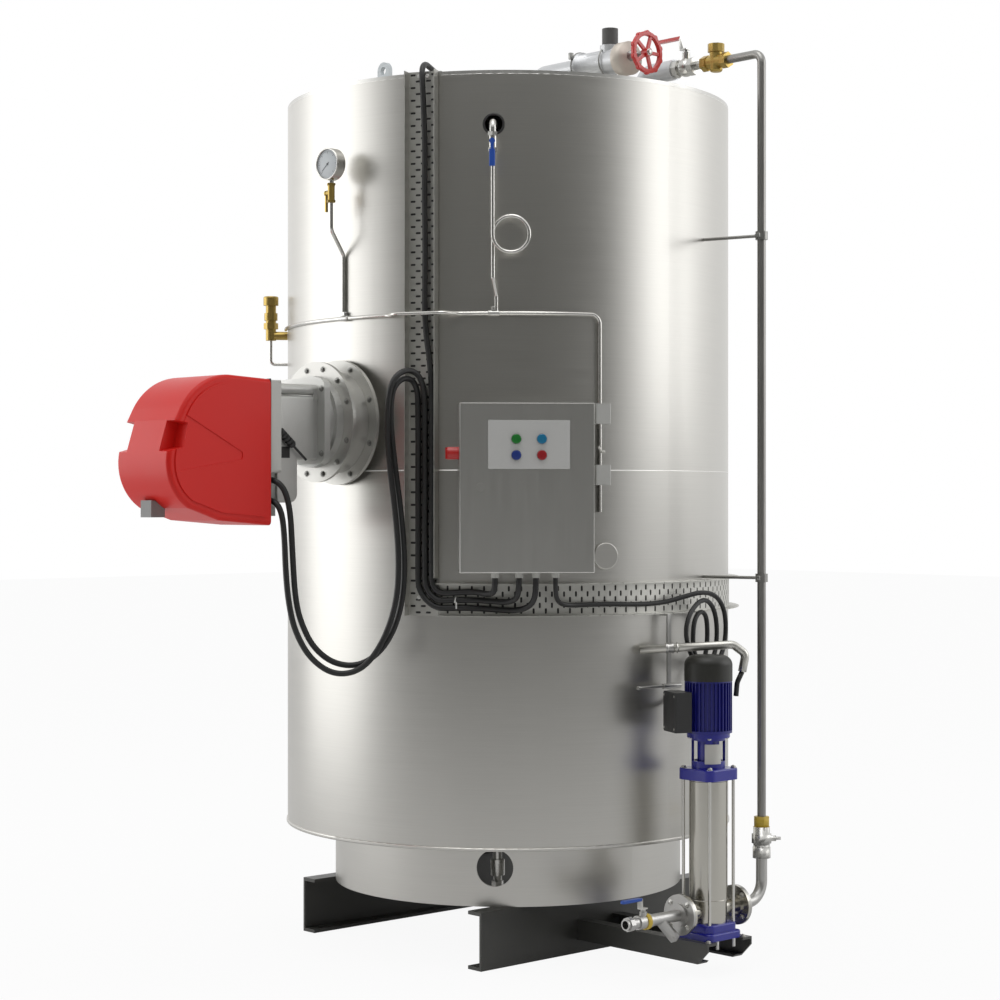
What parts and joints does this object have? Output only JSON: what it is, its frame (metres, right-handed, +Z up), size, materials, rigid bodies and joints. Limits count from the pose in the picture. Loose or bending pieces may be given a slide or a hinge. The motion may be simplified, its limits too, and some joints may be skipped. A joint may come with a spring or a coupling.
{
  "type": "vertical steam boiler with burner and feed pump",
  "caption": "Vertical steam boiler in a stainless jacket on channel rails, with side burner, feed pump, riser pipe, cable trays and control cabinet with an opening door.",
  "frame": {"origin": "on the ground at the boiler axis, at the centre of the four anchor holes in the base rails", "axes": "+Z up along the boiler axis, base rails along Y with the burner on the -Y side, feed pump on the +X side"},
  "size_m": [1.7458, 2.2157, 2.977],
  "materials": {
    "backplate_grey": "moulded",
    "burner_aluminium": "sand cast",
    "cabinet_steel": "brushed stainless sheet",
    "cable_black": "flexible cable",
    "cover_red": "satin gloss moulding",
    "fan_black": "matte",
    "flange_paint": "grey aluminium paint",
    "flange_steel": "polished stainless",
    "gauge_case": "satin case",
    "gland_grey": "matte",
    "jacket_steel": "brushed stainless sheet",
    "lamp_lens": "clear gloss, one colour a lamp",
    "lever_blue": "dipped vinyl",
    "lever_red": "painted",
    "panel_foil": "pale satin",
    "pipe_steel": "pickled stainless pipe",
    "pump_blue": "gloss enamel",
    "pump_steel": "drawn stainless",
    "rail_paint": "satin black",
    "roof_steel": "plain stainless sheet",
    "stub_grey": "dark primer",
    "switch_housing": "matte",
    "switch_red": "gloss",
    "tray_zinc": "galvanised perforated sheet",
    "tube_steel": "polished stainless tube",
    "valve_brass": "cast brass",
    "valve_nickel": "nickel plated",
    "wheel_red": "cast and painted"
  },
  "bodies": {
    "boiler": {"base_rails": "rail_paint", "base_skirt": "jacket_steel", "burner_backplate": "backplate_grey", "burner_boot": "cable_black", "burner_cable_inner": "cable_black", "burner_cable_outer": "cable_black", "burner_cover": "cover_red", "burner_flanges": "flange_paint", "burner_housing": "burner_aluminium", "cabinet_box": "cabinet_steel", "cable_glands": "gland_grey", "check_valve": "valve_brass", "discharge_elbow": "flange_steel", "discharge_valve": "valve_nickel", "drain_pipe": "pipe_steel", "fan_cover": "fan_black", "feed_riser": "pipe_steel", "feed_valve": "valve_nickel", "flue_collar": "roof_steel", "gauge_cock": "valve_brass", "horizontal_tray": "tray_zinc", "impulse_tubes": "tube_steel", "inspection_cap": "jacket_steel", "jacket_floor": "jacket_steel", "lifting_lugs": "roof_steel", "lower_jacket": "jacket_steel", "motor": "pump_blue", "overflow_bracket": "pipe_steel", "overflow_pipe": "pipe_steel", "pressure_gauge": "gauge_case", "pressure_switches": "switch_housing", "pump_base": "pump_steel", "pump_cable": "cable_black", "pump_foot": "pump_blue", "pump_head": "pump_blue", "pump_rails": "rail_paint", "pump_sleeve": "pump_steel", "ring_tube": "tube_steel", "riser_clamps": "pipe_steel", "roof": "roof_steel", "roof_cable": "cable_black", "roof_pipes": "pipe_steel", "safety_valve": "valve_brass", "steam_outlet": "stub_grey", "stop_valve": "pipe_steel", "suction_line": "flange_steel", "syphon_valve": "valve_nickel", "terminal_box": "fan_black", "tie_rods": "tube_steel", "upper_jacket": "jacket_steel", "vertical_tray": "tray_zinc"},
    "door": {"cabinet_door": "cabinet_steel", "lamp_panel": "panel_foil", "indicator_lamps": "lamp_lens"},
    "main_switch_body": {"main_switch": "switch_red"},
    "gauge_cock_lever_body": {"gauge_cock_lever": "valve_brass"},
    "syphon_lever_body": {"syphon_lever": "lever_blue"},
    "handwheel_body": {"handwheel": "wheel_red"},
    "feed_lever_body": {"feed_lever": "lever_red"},
    "suction_lever_body": {"suction_lever": "lever_blue"}
  },
  "joints": [
    {"name": "door_hinge", "type": "hinge", "parent": "boiler", "child": "door", "pos_m": [0.8226, -0.41687, 1.484], "axis": [0, 0, 1], "range_deg": [0, 120]},
    {"name": "main_switch_turn", "type": "hinge", "parent": "boiler", "child": "main_switch_body", "pos_m": [0.52988, -0.69407, 1.588], "axis": [-0.6347, -0.7727, 0], "range_deg": [0, 90]},
    {"name": "gauge_cock_turn", "type": "hinge", "parent": "boiler", "child": "gauge_cock_lever_body", "pos_m": [0.04377, -0.81107, 2.402], "axis": [-0.9969, -0.0785, 0], "range_deg": [0, 90]},
    {"name": "syphon_valve_turn", "type": "hinge", "parent": "boiler", "child": "syphon_lever_body", "pos_m": [0.55961, -0.5856, 2.53], "axis": [0.6909, -0.723, 0], "range_deg": [0, 90]},
    {"name": "handwheel_turn", "type": "hinge", "parent": "boiler", "child": "handwheel_body", "pos_m": [0.6, 0.047, 2.877], "axis": [1, 0, 0], "range_deg": [0, 1440]},
    {"name": "feed_valve_turn", "type": "hinge", "parent": "boiler", "child": "feed_lever_body", "pos_m": [0.593, 0.24, 2.912], "axis": [0, 0, 1], "range_deg": [-90, 0]},
    {"name": "suction_valve_turn", "type": "hinge", "parent": "boiler", "child": "suction_lever_body", "pos_m": [0.914, -0.3, 0.228], "axis": [0, 0, 1], "range_deg": [0, 90]}
  ]
}
